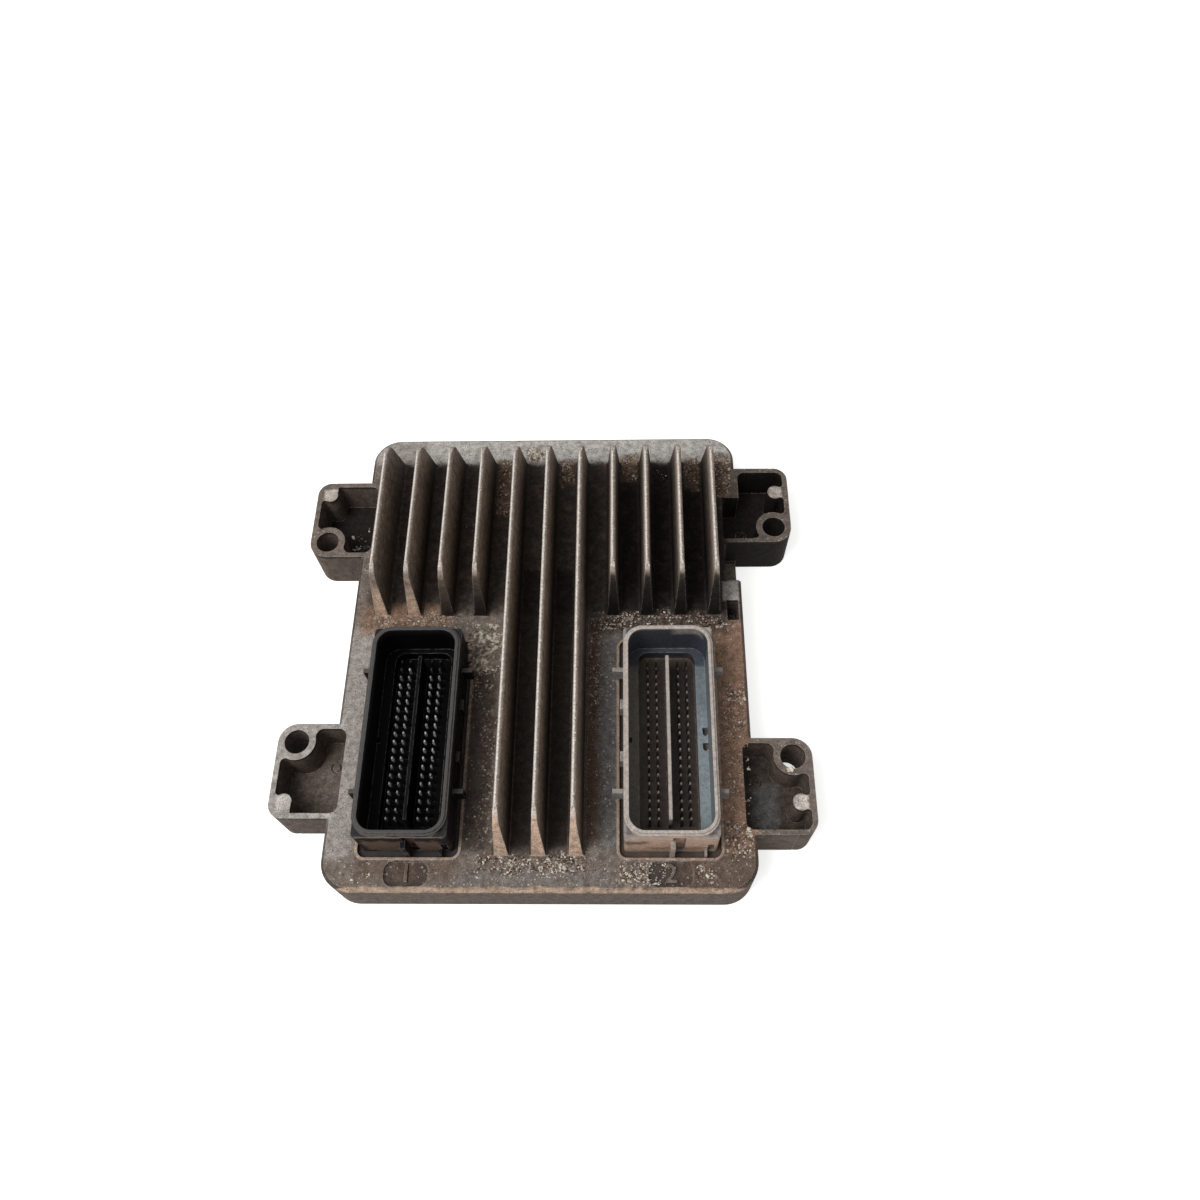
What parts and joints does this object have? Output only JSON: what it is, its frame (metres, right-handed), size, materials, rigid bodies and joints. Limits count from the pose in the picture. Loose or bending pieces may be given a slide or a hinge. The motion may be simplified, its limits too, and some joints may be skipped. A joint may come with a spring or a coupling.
{
  "type": "engine control unit",
  "caption": "Flat vehicle control unit in a finned die-cast aluminium housing with pocketed bolt ears, pin headers standing out of the deck and a screwed back cover.",
  "frame": {"origin": "middle of the bounding box, on the plane that the ears are bolted to", "axes": "+X across the fins to the right with the headers at the near end, +Y along the fins away from the headers, +Z out of the finned deck"},
  "size_m": [0.1586, 0.155, 0.036],
  "materials": {
    "cast_aluminium": "raw die casting, stained brown and corroded, crests worn bright",
    "cover_aluminium": "plain pressed sheet, dulled",
    "sealant": "matt cured sealant",
    "screw_steel": "plain zinc",
    "board_laminate": "green solder mask",
    "black_plastic": "moulded, dusty",
    "grey_plastic": "moulded, dusty",
    "tinned_pins": "tinned",
    "chip_plastic": "moulded package",
    "pad_rubber": "soft gap filler",
    "can_aluminium": "bright can",
    "ferrite": "sintered",
    "can_steel": "plated can",
    "chip_ceramic": "fired chips with tinned ends"
  },
  "bodies": {
    "root": {"housing": "cast_aluminium", "back_cover": "cover_aluminium", "cover_seal": "sealant", "cover_screws": "screw_steel", "circuit_board": "board_laminate", "board_screws": "screw_steel", "left_header": "black_plastic", "right_header": "grey_plastic", "left_header_pins": "tinned_pins", "right_header_pins": "tinned_pins", "left_header_seal": "sealant", "right_header_seal": "sealant", "microcontroller": "chip_plastic", "memory_chip": "chip_plastic", "power_supply_chip": "chip_plastic", "driver_chips": "chip_plastic", "power_transistors": "chip_plastic", "thermal_pads": "pad_rubber", "electrolytic_capacitors": "can_aluminium", "power_inductor": "ferrite", "crystal": "can_steel", "transceiver_chips": "chip_plastic", "chip_capacitors": "chip_ceramic"}
  },
  "joints": []
}
